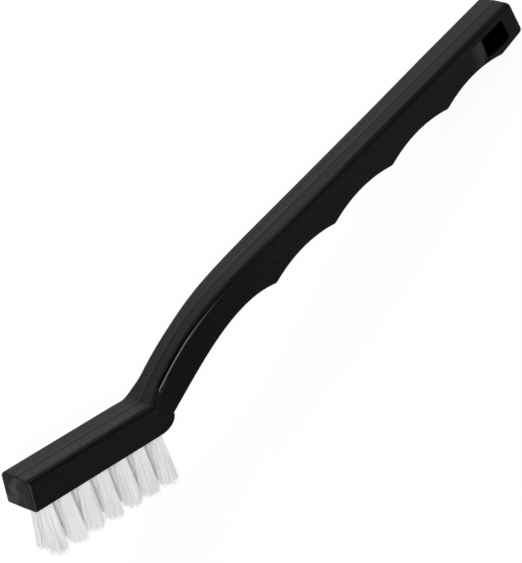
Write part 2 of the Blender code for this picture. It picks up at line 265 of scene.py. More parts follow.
@dataclass(frozen=True)
class HeadFrame:
    """The head's frame, as the anchors in its holes give it."""

    matrix: Matrix
    columns: int = 7
    rows: int = 2
    first_column: float = 5.4 * MM
    column_pitch: float = 6.0 * MM
    row_pitch: float = 3.8 * MM
    head_thickness: float = 8.7 * MM

    @classmethod
    def from_anchors(cls, depth: float = 5.05 * MM) -> "HeadFrame":
        """Finds the frame.

        Args:
            depth: How far the anchors' middles lie below the head's back.

        Returns:
            The frame, with a matrix from it to the world.
        """
        first, last, beside = (
            (sum(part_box(name), Vector()) / 2)
            for name in ("anchor_row1_1", f"anchor_row1_{cls.columns}", "anchor_row2_1")
        )
        along = (last - first).normalized()
        across = (beside - first).normalized()
        out = along.cross(across)
        origin = first - cls.first_column * along + cls.row_pitch / 2 * across + depth * out
        turn = Matrix((along, across, out)).transposed()
        return cls(Matrix.LocRotScale(origin, turn, None))

    @property
    def along(self) -> Vector:
        """The way from the front end to the handle."""
        return self.matrix.col[0].to_3d()

    @property
    def across(self) -> Vector:
        """The way from the near side face to the far one."""
        return self.matrix.col[1].to_3d()

    @property
    def out(self) -> Vector:
        """The way out of the head's back."""
        return self.matrix.col[2].to_3d()

    @property
    def holes(self) -> list[tuple[int, int]]:
        """The row and the column of every tuft hole, counted from 0."""
        return [(row, column) for row in range(self.rows) for column in range(self.columns)]

    def coordinates(self, wiring: Wiring) -> Socket:
        """The place of the shaded point in this frame.

        Args:
            wiring: The material's wiring.

        Returns:
            The place.
        """
        values = {"Location": self.matrix.translation, "Rotation": self.matrix.to_euler()}
        values["Vector"] = wiring.object_place()
        return wiring.result("ShaderNodeMapping", values, vector_type="TEXTURE")

    def mouth(self, row: int, column: int) -> Vector:
        """The middle of a tuft hole's mouth.

        Args:
            row: The hole's row, counted from 0.
            column: Its column, counted from 0.

        Returns:
            The point, in the head's frame.
        """
        x = self.first_column + column * self.column_pitch
        y = (row - (self.rows - 1) / 2) * self.row_pitch
        return Vector((x, y, -self.head_thickness))


@dataclass(frozen=True)
class Window:
    """Where the hang hole lies, along the grip's back and out of it from the head's origin."""

    rise: float
    middle: float
    reach: float
    top: float
    bottom: float
    half_width: float

    @property
    def along(self) -> Vector:
        """The way along the grip to the tail, in the head's frame."""
        return Vector((math.cos(self.rise), 0, math.sin(self.rise)))

    @property
    def out(self) -> Vector:
        """The way out of the grip's back, in the head's frame."""
        return Vector((-math.sin(self.rise), 0, math.cos(self.rise)))


@dataclass(frozen=True)
class Spot:
    """The shaded point: its place in the head's frame, and the measures that zones are given in."""

    wiring: Wiring
    place: Socket
    measures: dict[str, Socket]

    @classmethod
    def find(cls, wiring: Wiring, head: HeadFrame, hole: Window) -> "Spot":
        """Adds the nodes that find the point.

        Args:
            wiring: The material's wiring.
            head: The head's frame.
            hole: Where the hang hole lies.

        Returns:
            The point. Front, near, up and tail measure how far its surface faces those ways.
        """
        place = head.coordinates(wiring)
        run, aside, _ = wiring.add("ShaderNodeSeparateXYZ", {0: place}).outputs
        grip_run = wiring.vector("DOT_PRODUCT", place, hole.along)
        measures = {
            "run": run,
            "aside": aside,
            "off_seam": wiring.math("ABSOLUTE", aside),
            "past_hole_start": wiring.math("SUBTRACT", grip_run, hole.middle - hole.reach),
            "grip_height": wiring.vector("DOT_PRODUCT", place, hole.out),
        }
        normal = wiring.add("ShaderNodeNewGeometry").outputs["Normal"]
        tailwards = head.matrix.to_3x3() @ hole.along
        ways = {"front": -head.along, "near": -head.across, "up": UP, "tail": tailwards}
        measures |= {name: wiring.vector("DOT_PRODUCT", normal, way) for name, way in ways.items()}
        return cls(wiring, place, measures)

    def mask(self, zone: Zone, *shares: Value) -> Socket:
        """The mask of a soft-edged part of the surface.

        Args:
            zone: The measures that bound the part.
            shares: What else the mask is multiplied by.

        Returns:
            The mask, from 0 to 1.
        """
        ramps = [self.wiring.ramp(self.measures[name], hides, shows) for name, hides, shows in zone]
        return self.wiring.product(*ramps, *shares)


# Finishes


@dataclass(frozen=True)
class BlackPlastic:
    """Black moulded plastic: flow lines along its back, painted highlights on its mould seam and edges,
    painted sheen and shade, and painted reflections on the front end.

    A zone lists measures of the shaded point, each with where it hides the zone and where it shows it whole.
    """

    colour: Colour = (0.0023, 0.002, 0.0018)
    flow: Colour = (0.014, 0.0145, 0.015)
    # Painted highlight along the mould seam's ridge on the back.
    seam: Colour = (0.05, 0.051, 0.053)
    # Painted sheen: lightens the near half of the head's back, and the hang hole's flare.
    dusty: Colour = (0.026, 0.028, 0.03)
    # Painted highlight: a faint light band along the near back edge.
    rubbed: Colour = (0.008, 0.008, 0.008)
    # Painted highlight: bright on the near back edge along the neck, and on the front corner.
    worn: Colour = (0.2, 0.2, 0.19)
    # Painted shade, near black, inside the hang hole and along the near back edge; it also takes away the
    # gloss there.
    unlit: Colour = (0.0006, 0.0006, 0.0008)
    # Painted reflection: lighter mottled patches on the front end's near part.
    scuffed: Colour = (0.04, 0.04, 0.041)
    # Painted glints: light specks on the near side face.
    speck: Colour = (0.036, 0.0345, 0.03)
    roughness: float = 0.34
    flow_roughness: float = 0.1
    gloss: float = 0.065
    line_height: float = 0.03 * MM
    grain_height: float = 0.008 * MM
    flow_stretch: Triple = (90.0, 1.0, 90.0)
    flow_scale: float = 3200.0
    grain_scale: float = 5200.0
    glint_cover: float = 0.11
    glint_share: float = 0.5
    painted_sheen_share: float = 0.8
    flare_sheen_share: float = 0.7
    corner_highlight_share: float = 0.28
    seam_highlight_lost_on_neck: float = 0.75
    neck_highlight_power: float = 1.8
    # The least share of the painted edge shade, away from the neck.
    least_edge_shade: float = 0.35
    # Where the painted highlight on the near back edge widens, and the facings it spans.
    edge_highlight_widens: Span = (46 * MM, 60 * MM)
    narrow_edge_highlight: Span = (0.875, 0.93)
    wide_edge_highlight: Span = (0.83, 0.92)
    # Where the painted hole shade fades in from the side faces.
    hole_edge: Span = (0.1 * MM, 0.8 * MM)
    reflection_scale: float = 330.0
    reflection_detail: float = 6.0
    reflection_tones: Span = (0.4, 0.62)
    on_back: Zone = (("up", 0.5, 0.75),)
    on_side: Zone = (("near", 0.9, 0.98),)
    on_seam_highlight: Zone = (("off_seam", 0.2 * MM, 0.04 * MM), ("up", 0.5, 0.75))
    # Along the neck, where the painted seam highlight fades out.
    on_neck: Zone = (("run", 41 * MM, 45 * MM), ("run", 84 * MM, 64 * MM))
    # Where painted sheen lightens the near half of the head's back.
    in_painted_sheen: Zone = (
        ("run", 41 * MM, 38 * MM),
        ("aside", -4.4 * MM, -3.2 * MM),
        ("aside", -0.4 * MM, -1.6 * MM),
        ("up", 0.5, 0.75),
    )
    # Along the neck, where the painted edge highlight is bright and the painted edge shade is dark.
    on_neck_highlight: Zone = (("run", 43.5 * MM, 44.5 * MM), ("run", 76 * MM, 48 * MM))
    on_edge_highlight: Zone = (("near", 0.968, 0.948), ("up", 0.05, 0.2))
    # Painted shade: a dark line along the rounded near back edge.
    in_edge_shade: Zone = (("near", 0.55, 0.72), ("near", 0.88, 0.8), ("up", 0.05, 0.2))
    # The hang hole's flare, which takes a painted highlight.
    on_flare: Zone = (
        ("past_hole_start", -7 * MM, -3.2 * MM),
        ("past_hole_start", 0.4 * MM, -2.2 * MM),
        ("tail", 0.01, 0.06),
        ("near", 0.3, 0.6),
    )
    # Where the painted reflection lies on the front end.
    on_front: Zone = (("front", 0.8, 0.95), ("aside", -3.2 * MM, -0.8 * MM))
    front_depth: float = 0.2 * MM
    # Painted highlight on the front end's near vertical edge.
    on_corner_highlight: Zone = (("front", 0.45, 0.65), ("near", 0.35, 0.6))
    corner_depth: float = 2 * MM

    def lip(self, spot: Spot) -> Socket:
        """The mask of the painted highlight along the rounded edge between the back and the near side, which
        starts narrow.

        Args:
            spot: The shaded point.

        Returns:
            The mask.
        """
        widened = spot.wiring.ramp(spot.measures["run"], *self.edge_highlight_widens)
        ends = (
            spot.wiring.math("MULTIPLY_ADD", widened, wide - narrow, narrow)
            for narrow, wide in zip(self.narrow_edge_highlight, self.wide_edge_highlight)
        )
        return spot.mask(self.on_edge_highlight, spot.wiring.ramp(spot.measures["near"], *ends))

    def painted_hole_shade(self, spot: Spot, hole: Window) -> Socket:
        """The mask of the painted shade inside the hang hole, which hardly any light reaches.

        Args:
            spot: The shaded point.
            hole: Where the hang hole lies.

        Returns:
            The mask.
        """
        wiring, measures = spot.wiring, spot.measures
        past_middle = wiring.math("SUBTRACT", measures["past_hole_start"], hole.reach)
        inwards = wiring.math("SUBTRACT", hole.half_width, measures["off_seam"])
        return wiring.product(
            wiring.math("LESS_THAN", wiring.math("ABSOLUTE", past_middle), hole.reach),
            wiring.math("LESS_THAN", measures["grip_height"], hole.top),
            wiring.math("GREATER_THAN", measures["grip_height"], hole.bottom),
            wiring.ramp(inwards, *self.hole_edge),
        )

    def build(self, head: HeadFrame, hole: Window, lines: NodeTree, grain: NodeTree) -> Material:
        """Builds the material.

        Args:
            head: The head's frame, which the painted highlights, sheen and shade are placed in.
            hole: Where the hang hole lies.
            lines: The shared drawn lines.
            grain: The shared fine grain.

        Returns:
            The material.
        """
        made, wiring, shader = new_material("black_plastic")
        spot = Spot.find(wiring, head, hole)
        streaks = wiring.group(lines, Vector=spot.place, Stretch=self.flow_stretch, Scale=self.flow_scale)
        flow = spot.mask(self.on_back, streaks["Lines"])
        place = wiring.object_place()
        speckle = wiring.group(grain, Vector=place, Scale=self.grain_scale, Specks=self.glint_cover)
        # Painted highlight on the near back edge: faint all along, bright along the neck.
        neck_highlight = spot.mask(self.on_neck_highlight)
        worn = wiring.mix(wiring.math("POWER", neck_highlight, self.neck_highlight_power), self.rubbed, self.worn)
        # Painted shade along the near back edge, darkest along the neck.
        edge_shade = wiring.math("MULTIPLY_ADD", neck_highlight, 1 - self.least_edge_shade, self.least_edge_shade)
        # Painted shade inside the hang hole and along the near back edge, which also loses its gloss.
        unlit = wiring.math("MAXIMUM", self.painted_hole_shade(spot, hole), spot.mask(self.in_edge_shade, edge_shade))
        lit = wiring.math("SUBTRACT", 1.0, unlit)
        # The painted highlight along the mould seam fades out along the neck.
        seam_highlight_left = wiring.math("MULTIPLY_ADD", spot.mask(self.on_neck), -self.seam_highlight_lost_on_neck, 1.0)
        # Noise patches of the painted reflection on the front end.
        patches = wiring.noise(spot.place, self.reflection_scale, self.reflection_detail)
        reflection_patches = wiring.ramp(patches, *self.reflection_tones)
        at_front, at_corner = (
            wiring.math("LESS_THAN", spot.measures["run"], depth)
            for depth in (self.front_depth, self.corner_depth)
        )
        layers = (
            (flow, self.flow),
            (spot.mask(self.on_seam_highlight, seam_highlight_left), self.seam),
            # Painted sheen on the near half of the head's back.
            (spot.mask(self.in_painted_sheen, self.painted_sheen_share), self.dusty),
            # Painted highlight along the near back edge.
            (self.lip(spot), worn),
            (unlit, self.unlit),
            # Painted highlight on the flare at the hang hole's head side, outside the painted hole shade.
            (spot.mask(self.on_flare, lit, self.flare_sheen_share), self.dusty),
            # Painted reflection on the front end.
            (spot.mask(self.on_front, at_front, reflection_patches), self.scuffed),
            # Painted highlight on the front end's near vertical edge.
            (spot.mask(self.on_corner_highlight, at_corner, self.corner_highlight_share), self.worn),
            # Painted glints on the near side face.
            (spot.mask(self.on_side, speckle["Specks"], self.glint_share), self.speck),
        )
        shown = self.colour
        for mask, tone in layers:
            shown = wiring.mix(mask, shown, tone)
        relief = wiring.bump(flow, self.line_height)
        wiring.give(
            shader,
            {
                "Base Color": shown,
                "Roughness": wiring.math("MULTIPLY_ADD", flow, self.flow_roughness, self.roughness),
                "Specular IOR Level": wiring.product(lit, self.gloss),
                "Normal": wiring.bump(speckle["Height"], self.grain_height, Normal=relief),
            },
        )
        return made


@dataclass(frozen=True)
class WhiteNylon:
    """Milky nylon filament, with painted shade that makes it a little darker and warmer towards the roots,
    where the tufts are dense.
    """

    tip: Colour = (0.97, 0.97, 0.97)
    # Painted shade: a little darker and warmer towards the roots.
    root: Colour = (0.965, 0.95, 0.925)
    shade: Colour = (0.93, 0.93, 0.935)
    roughness: float = 0.4
    gloss: float = 0.3
    root_shade_fade: Span = (0.08, 0.45)
    streak_share: float = 0.3
    streak_stretch: Triple = (1.0, 1.0, 14.0)
    streak_scale: float = 700.0

    def build(self, head: HeadFrame, lines: NodeTree) -> Material:
        """Builds the material.

        Args:
            head: The head's frame, which the tufts' streaks follow.
            lines: The shared drawn lines.

        Returns:
            The material.
        """
        made, wiring, shader = new_material("white_nylon")
        share, tone = (
            wiring.add("ShaderNodeAttribute", attribute_name=name).outputs["Fac"]
            for name in ("strand_share", "strand_tone")
        )
        place = head.coordinates(wiring)
        streaks = wiring.group(lines, Vector=place, Stretch=self.streak_stretch, Scale=self.streak_scale)
        # Painted shade fading from the roots towards the tips.
        clean = wiring.mix(wiring.ramp(share, *self.root_shade_fade), self.root, self.tip)
        dulled = wiring.product(wiring.math("ADD", tone, streaks["Lines"]), self.streak_share)
        wiring.give(
            shader,
            {
                "Base Color": wiring.mix(dulled, clean, self.shade),
                "Roughness": self.roughness,
                "Specular IOR Level": self.gloss,
                "Diffuse Roughness": 1.0,
            },
        )
        return made


@dataclass(frozen=True)
class DrawnWire:
    """Pale yellow flat wire, with fine lines from its drawing."""

    colour: Colour = (0.72, 0.64, 0.45)
    dull: Colour = (0.4, 0.33, 0.2)
    roughness: float = 0.3
    line_roughness: float = 0.2
    line_height: float = 0.01 * MM
    line_stretch: Triple = (40.0, 1.0, 1.0)
    line_scale: float = 9000.0
    tarnish_scale: float = 2500.0
    tarnish_cover: float = 0.2

    def build(self, lines: NodeTree, grain: NodeTree) -> Material:
        """Builds the material.

        Args:
            lines: The shared drawn lines.
            grain: The shared fine grain.

        Returns:
            The material.
        """
        made, wiring, shader = new_material("anchor_wire")
        place = wiring.object_place()
        drawn = wiring.group(lines, Vector=place, Stretch=self.line_stretch, Scale=self.line_scale)["Lines"]
        tarnish = wiring.group(grain, Vector=place, Scale=self.tarnish_scale, Specks=self.tarnish_cover)
        wiring.give(
            shader,
            {
                "Base Color": wiring.mix(tarnish["Specks"], self.colour, self.dull),
                "Roughness": wiring.math("MULTIPLY_ADD", drawn, self.line_roughness, self.roughness),
                "Metallic": 1.0,
                "Normal": wiring.bump(drawn, self.line_height),
            },
        )
        return made


# Meshes and pieces


def linked(name: str, data: bpy.types.ID) -> Object:
    """Adds a new object to the scene.

    Args:
        name: Its name.
        data: The mesh, light or camera that it holds.

    Returns:
        The object.
    """
    holder = bpy.data.objects.new(name, data)
    bpy.context.scene.collection.objects.link(holder)
    return holder


def add_piece(name: str, mesh: Mesh, slot: str, *nodes: str) -> Object:
    """Adds a finished piece that stands for solids.

    Args:
        name: The piece's name.
        mesh: Its mesh, in place.
        slot: The record's material slot; not used.
        nodes: The solids that it stands for.

    Returns:
        The new object.
    """
    piece = linked(name, mesh)
    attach(piece, BODY)
    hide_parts(*nodes)
    log.info("%s: %d faces", name, len(mesh.polygons))
    return piece


def skin(bm: BMesh, loops: list[Loop]) -> None:
    """Joins each loop to the next with four-sided faces.

    Args:
        bm: The mesh that holds the loops.
        loops: The loops in order, each with as many points as the next.
    """
    for lower, upper in zip(loops, loops[1:]):
        for i in range(len(lower)):
            bm.faces.new([lower[i - 1], lower[i], upper[i], upper[i - 1]])


def closed(bm: BMesh, name: str) -> Mesh:
    """Turns a closed bmesh into a mesh.

    Args:
        bm: The bmesh, which is freed.
        name: The mesh's name.

    Returns:
        The mesh, with its faces outwards.
    """
    bmesh.ops.recalc_face_normals(bm, faces=bm.faces)
    mesh = bpy.data.meshes.new(name)
    bm.to_mesh(mesh)
    bm.free()
    return mesh


# Outlines


def unit(way: Array) -> Array:
    """The way at unit length."""
    return way / np.linalg.norm(way)


def cubic(start: Array, first: Array, second: Array, end: Array, t: Array) -> Array:
    """The points of a cubic curve at the shares t of its way, from its ends and its two inner points."""
    return (1 - t) ** 3 * start + 3 * (1 - t) ** 2 * t * first + 3 * (1 - t) * t**2 * second + t**3 * end


def bend(start: Array, start_way: Array, end: Array, end_way: Array, steps: int) -> Array:
    """Points inside the near-circular curve that joins two ends along their ways.

    Args:
        start: The curve's start.
        start_way: The unit way in which it leaves.
        end: The curve's end.
        end_way: The unit way in which it arrives.
        steps: Its count of steps.

    Returns:
        The points between its two ends.
    """
    straight = 1e-4
    angle = math.acos(float(np.clip(start_way @ end_way, -1, 1)))
    chord = np.linalg.norm(end - start)
    pull = chord / 3 if angle < straight else chord / (2 * math.sin(angle / 2)) * math.tan(angle / 4) * 4 / 3
    t = np.linspace(0, 1, steps + 1)[1:-1, None]
    return cubic(start, start + pull * start_way, end - pull * end_way, end, t)


def between(points: Array, cut_start: float, cut_end: float) -> Array:
    """The same count of points along a line once both of its ends are cut back.

    Args:
        points: The line's points.
        cut_start: The length that goes at its start.
        cut_end: The length that goes at its end.

    Returns:
        As many points, spread as before.
    """
    steps = np.linalg.norm(np.diff(points, axis=0), axis=1)
    run = np.concatenate([[0], np.cumsum(steps)])
    room = run[-1] - cut_start - cut_end
    at = cut_start + run / run[-1] * room
    return np.column_stack([np.interp(at, run, points[:, 0]), np.interp(at, run, points[:, 1])])


def cut_back(before: Array, after: Array, radius: float) -> float:
    """How much of two sides goes for the rounding of the corner between them.

    Args:
        before: The points of the side before the corner.
        after: The points of the side after it.
        radius: The rounding's radius.

    Returns:
        The length that goes at the end of one side and at the start of the other.
    """
    if radius == 0:
        return 0.0
    cosine = unit(before[-1] - before[-2]) @ unit(after[1] - after[0])
    return radius * math.tan(math.acos(float(np.clip(cosine, -1, 1))) / 2)


@dataclass(frozen=True)
class EdgeForm:
    """How one side of the handle's outline rounds off towards the two side faces."""

    width: float
    turn: float
    draft: float
    seam: float

    def inset(self, y: float, half_width: float, width: float) -> float:
        """How far the surface has drawn in.

        Args:
            y: The distance from the middle of the handle.
            half_width: Half of the handle's width.
            width: The width of the rounding there.

        Returns:
            The distance inwards from the outline in the middle.
        """
        if width == 0:
            return 0.0
        radius = width / math.sin(self.turn)
        past = max(0.0, y - (half_width - width))
        return radius - math.sqrt(max(0.0, radius**2 - past**2)) + y * math.tan(self.draft)


class Edge(Enum):
    """The sides of the handle's outline, by how their edges are rounded."""

    BACK = EdgeForm(1.65 * MM, math.radians(70), math.radians(1.6), 1.0)
    FRONT = EdgeForm(0.6 * MM, math.radians(75), 0.0, 0.4)
    TAIL = EdgeForm(0.8 * MM, math.radians(75), math.radians(0.8), 1.0)
    BELLY = EdgeForm(0.5 * MM, math.radians(70), math.radians(0.8), 0.0)
    BARE = EdgeForm(0.0, 0.0, 0.0, 0.0)


@dataclass
class Run:
    """One side of the outline: its points, its edge's form, and the rounding of the corner at its end."""

    points: Array
    edge: Edge
    end_round: float = 0.0


def offset(corners: Array, insets: Sequence[float], edges: Sequence[Edge]) -> Array:
    """Moves each side of a closed outline inwards.

    Args:
        corners: The outline's corners, anticlockwise.
        insets: How far each side moves, from each corner to the next.
        edges: The kind of each side's edge.

    Returns:
        The corners where the moved sides meet.
    """
    along = np.roll(corners, -1, axis=0) - corners
    along /= np.linalg.norm(along, axis=1)[:, None]
    inward = np.column_stack([-along[:, 1], along[:, 0]])
    moved = []
    for i, corner in enumerate(corners):
        before, after = inward[i - 1], inward[i]
        if edges[i - 1] is edges[i]:
            mean = (insets[i - 1] + insets[i]) / 2
            moved.append(corner + mean * (before + after) / (1 + before @ after))
        else:
            moved.append(corner + np.linalg.solve(np.array([before, after]), [insets[i - 1], insets[i]]))
    return np.array(moved)


# Handle


@dataclass
class Handle:
    """The moulded handle: head, cranked neck, and grip with scallops and a hang hole."""

    width: float = 11.0 * MM
    head_length: float = 40.3 * MM
    face_length: float = 46.6 * MM
    head_thickness: float = HeadFrame.head_thickness
    heel_length: float = 5.2 * MM
    heel_height: float = 3.6 * MM
    heel_points: int = 13
    ledge: float = 0.35 * MM
    rise: float = math.radians(15.6)
    neck_step: float = 9.56 * MM
    back_leaves: float = math.radians(27.8)
    knee_run: float = 36.2 * MM
    knee_slope: float = math.radians(2.0)
    back_run: float = 70.0 * MM
    waist_width: float = 8.4 * MM
    waist_fade_in: float = 5.2 * MM
    waist_length: float = 11.5 * MM
    waist_opening: float = 2.0
    belly_leaves: float = math.radians(18.4)
    belly_arrives: float = math.radians(-23.8)
    neck_run: float = 47.76 * MM
    scallops: int = 4
    crest_pitch: float = 23.78 * MM
    crest_depth: float = 10.65 * MM
    tail_crest_depth: float = 11.09 * MM
    scallop_sag: float = 1.95 * MM
    tail_run: float = 9.75 * MM
    tail_depth: float = 10.05 * MM
    tail_lean: float = 0.75 * MM
    hole_top: float = 2.4 * MM
    hole_length: float = 7.6 * MM
    hole_height: float = 6.45 * MM
    hole_lean: float = 0.6 * MM
    hole_round: float = 0.6 * MM
    hole_turns: int = 5
    hole_margin: float = 0.05 * MM
    tail_wall: float = 5.0 * MM
    flare_length: float = 7.0 * MM
    flare_depth: float = 1.5 * MM
    flare_points: int = 9
    front_round: float = 0.8 * MM
    under_round: float = 0.5 * MM
    crest_round: float = 1.8 * MM
    tail_round: float = 1.0 * MM
    crease_round: float = 0.4 * MM
    far_crease_round: float = 5.0 * MM
    crease_turn: float = 0.6 * MM
    far_edge_places: Sizes = (36 * MM, 46 * MM, 140 * MM, 160 * MM)
    far_edge_widths: Sizes = (1.2 * MM, 1.75 * MM, 1.75 * MM, 1.35 * MM)
    side_pitch: float = 1.2 * MM
    same_point: float = 1e-5
    seam_height: float = 0.025 * MM
    seam_slip: float = 0.02 * MM
    seam_places: Sizes = tuple(y * MM for y in (-0.2, -0.12, -0.03, 0.03, 0.1, 0.17))
    seam_lift_shares: Sizes = (0, 0.75, 1, 1, 0.35, 0)
    tuft_hole: float = 3.0 * MM
    tuft_hole_depth: float = 5.4 * MM
    tuft_hole_sides: int = 32
    overrun: float = 1 * MM
    step: float = 0.8 * MM
    turns: int = 9
    sharp_angle: float = math.radians(19)
    depths: Sizes = tuple(
        e * MM for e in (0.0, 0.05, 0.12, 0.22, 0.35, 0.5, 0.65, 0.8, 1.0, 1.25, 1.5, 1.8, 2.5, 3.4, 4.4)
    )

    @property
    def grip_length(self) -> float:
        """The length from the crease in the back to the tail's end, along the grip."""
        return self.neck_run + self.scallops * self.crest_pitch + self.tail_run

    @property
    def hole_end(self) -> float:
        """The hang hole's tail end, along the grip."""
        return self.grip_length - self.tail_lean - self.tail_wall

    @property
    def flat_end(self) -> Array:
        """Where the grip's straight back ends and the neck starts."""
        return self.on_grip(self.back_run, 0)

    @property
    def window(self) -> Window:
        """Where the hang hole lies, with a little room round it.

        Returns:
            The hole's place, as the plastic's finish needs it.
        """
        cos, sin = math.cos(self.rise), math.sin(self.rise)
        middle = self.head_length * cos + self.hole_end + (self.hole_lean - self.hole_length) / 2
        back = self.neck_step - self.head_length * sin
        top = back - self.hole_top + self.hole_margin
        bottom = back - self.hole_top - self.hole_height - self.hole_margin
        reach = (self.hole_length + self.hole_lean) / 2 + self.hole_margin
        return Window(self.rise, middle, reach, top, bottom, self.width / 2)

    def on_grip(self, along: float, across: float) -> Array:
        """A point given along the grip's back from the crease, and across it.

        Args:
            along: How far it lies along the back.
            across: How far it lies out of the back, or below it where this is less than zero.

        Returns:
            The point.
        """
        cos, sin = math.cos(self.rise), math.sin(self.rise)
        x, z = along, self.neck_step + across
        return np.array([self.head_length + cos * x - sin * z, sin * x + cos * z])

    def way(self, angle: float) -> Array:
        """The unit way at an angle above the grip's back."""
        return np.array([math.cos(self.rise + angle), math.sin(self.rise + angle)])

    def line(self, start: Array, end: Array) -> Array:
        """Points along a straight side."""
        count = max(2, math.ceil(np.linalg.norm(end - start) / self.step) + 1)
        return np.linspace(start, end, count)

    def sweep(self, start: Array, start_way: Array, end: Array, end_way: Array) -> Array:
        """An even curve from one point to another.

        Args:
            start: The first point.
            start_way: The way in which the curve leaves it.
            end: The last point.
            end_way: The way in which the curve arrives there.

        Returns:
            Points along the curve.
        """
        reach = np.linalg.norm(end - start)
        t = np.linspace(0, 1, math.ceil(reach / self.step) + 1)[:, None]
        return cubic(start, start + reach / 3 * start_way, end - reach / 3 * end_way, end, t)

    def scallop(self, start: Array, end: Array) -> Array:
        """Points along the hollow between two crests.

        Args:
            start: The crest nearer the head.
            end: The next crest.

        Returns:
            The points, both crests among them.
        """
        chord = end - start
        half = np.linalg.norm(chord) / 2
        radius = (half**2 + self.scallop_sag**2) / (2 * self.scallop_sag)
        along = chord / (2 * half)
        left = np.array([-along[1], along[0]])
        centre = (start + end) / 2 + left * (self.scallop_sag - radius)
        reach = math.asin(half / radius)
        angles = np.linspace(-reach, reach, math.ceil(2 * half / self.step) + 1)[:, None]
        return centre + radius * (np.sin(angles) * along + np.cos(angles) * left)

    def head_runs(self) -> list[Run]:
        """The sides under the head.

        Returns:
            The head's face, the heel and the ledge behind it.
        """
        heel_top = self.heel_height - self.head_thickness
        angles = np.linspace(0, math.pi / 2, self.heel_points)
        heel_x = self.face_length - self.heel_length * (1 - np.sin(angles))
        heel = np.column_stack([heel_x, heel_top - self.heel_height * np.cos(angles)])
        ledge = np.array([self.face_length - self.ledge, heel_top])
        return [
            Run(self.line(np.array([0, -self.head_thickness]), heel[0]), Edge.BELLY),
            Run(heel, Edge.BELLY),
            Run(np.array([heel[-1], ledge]), Edge.BARE),
        ]

    def belly_runs(self, ledge: Array) -> list[Run]:
        """The sides under the neck and the grip.

        Args:
            ledge: Where the ledge behind the heel ends.

        Returns:
            The sides from there to the last crest.
        """
        share = np.linspace(0, 1, self.scallops + 1)
        depths = self.crest_depth + (self.tail_crest_depth - self.crest_depth) * share
        crests = [self.on_grip(self.neck_run + i * self.crest_pitch, -d) for i, d in enumerate(depths)]
        belly = self.sweep(ledge, self.way(self.belly_leaves), crests[0], self.way(self.belly_arrives))
        hollows = [self.scallop(start, end) for start, end in zip(crests, crests[1:])]
        return [Run(points, Edge.BELLY, self.crest_round) for points in (belly, *hollows)]

    def neck_back(self, crease: Array) -> Array:
        """Points along the neck's arched back.

        Args:
            crease: Where the neck's back meets the head's.

        Returns:
            The points from the grip's straight back to the crease.
        """
        knee, knee_way = self.on_grip(self.knee_run, 0), -self.way(self.knee_slope)
        upper = self.sweep(self.flat_end, -self.way(0), knee, knee_way)
        lower = self.sweep(knee, knee_way, crease, -self.way(self.back_leaves))
        return np.concatenate([upper[:-1], lower])

    def runs(self, crease_round: float) -> list[Run]:
        """The handle's side view.

        Args:
            crease_round: The rounding of the crease in the back.

        Returns:
            Its sides, anticlockwise from the front end's lower corner with +X right and +Z up.
        """
        under = self.head_runs()
        belly = self.belly_runs(under[-1].points[-1])
        tail_low = self.on_grip(self.grip_length, -self.tail_depth)
        tail_high = self.on_grip(self.grip_length - self.tail_lean, 0)
        crease, front = np.array([self.head_length, 0.0]), np.array([0.0, 0.0])
        return [
            *under,
            *belly,
            Run(self.line(belly[-1].points[-1], tail_low), Edge.BELLY, self.tail_round),
            Run(self.line(tail_low, tail_high), Edge.TAIL, self.tail_round),
            Run(self.line(tail_high, self.flat_end), Edge.BACK),
            Run(self.neck_back(crease), Edge.BACK, crease_round),
            Run(self.line(crease, front), Edge.BACK, self.front_round),
            Run(self.line(front, under[0].points[0]), Edge.FRONT, self.under_round),
        ]

    def waist(self, x: float) -> float:
        """How much of the handle's width its back has.

        Args:
            x: The distance from the front end.

        Returns:
            The share of the width, which is less along the waist.
        """
        waist_end = self.head_length + self.waist_fade_in + self.waist_length
        lost = 1 - self.waist_width / self.width
        narrowed = np.interp(x, (self.head_length, self.head_length + self.waist_fade_in), (0, 1))
        left = np.interp(x, (waist_end, self.flat_end[0]), (1, 0)) ** self.waist_opening
        return 1 - lost * narrowed**2 * (3 - 2 * narrowed) * left

    def edge_width(self, edge: Edge, x: float, y: float) -> float:
        """The width of an edge's rounding, which on the far side is less along the head and the tail.

        Args:
            edge: The edge.
            x: The place along the head's frame.
            y: The place across it, which is more than zero on the far side.

        Returns:
            The width.
        """
        if edge is Edge.BACK and y > 0:
            return float(np.interp(x, self.far_edge_places, self.far_edge_widths))
        return edge.value.width

    def drawn_in(self, runs: list[Run], y: float, lift: float) -> list[Array]:
        """The sides of the outline as they lie at one distance from the handle's middle.

        Args:
            runs: The sides as they lie in the middle.
            y: The signed distance.
            lift: How far the seam's ridge stands out there.

        Returns:
            The points of each side.
        """
        corners = np.concatenate([run.points[:-1] for run in runs])
        edges = [run.edge for run in runs for _ in run.points[:-1]]
        slip = self.seam_slip if y > 0 else 0.0
        insets = []
        for edge, (x, _) in zip(edges, corners):
            rounding = edge.value.inset(abs(y), self.width / 2, self.edge_width(edge, x, y))
            insets.append(rounding + (slip - lift) * edge.value.seam)
        moved = offset(corners, insets, edges)
        sides = []
        start = 0
        for run in runs:
            stop = start + len(run.points) - 1
            sides.append(moved[np.arange(start, stop + 1) % len(moved)])
            start = stop
        return sides

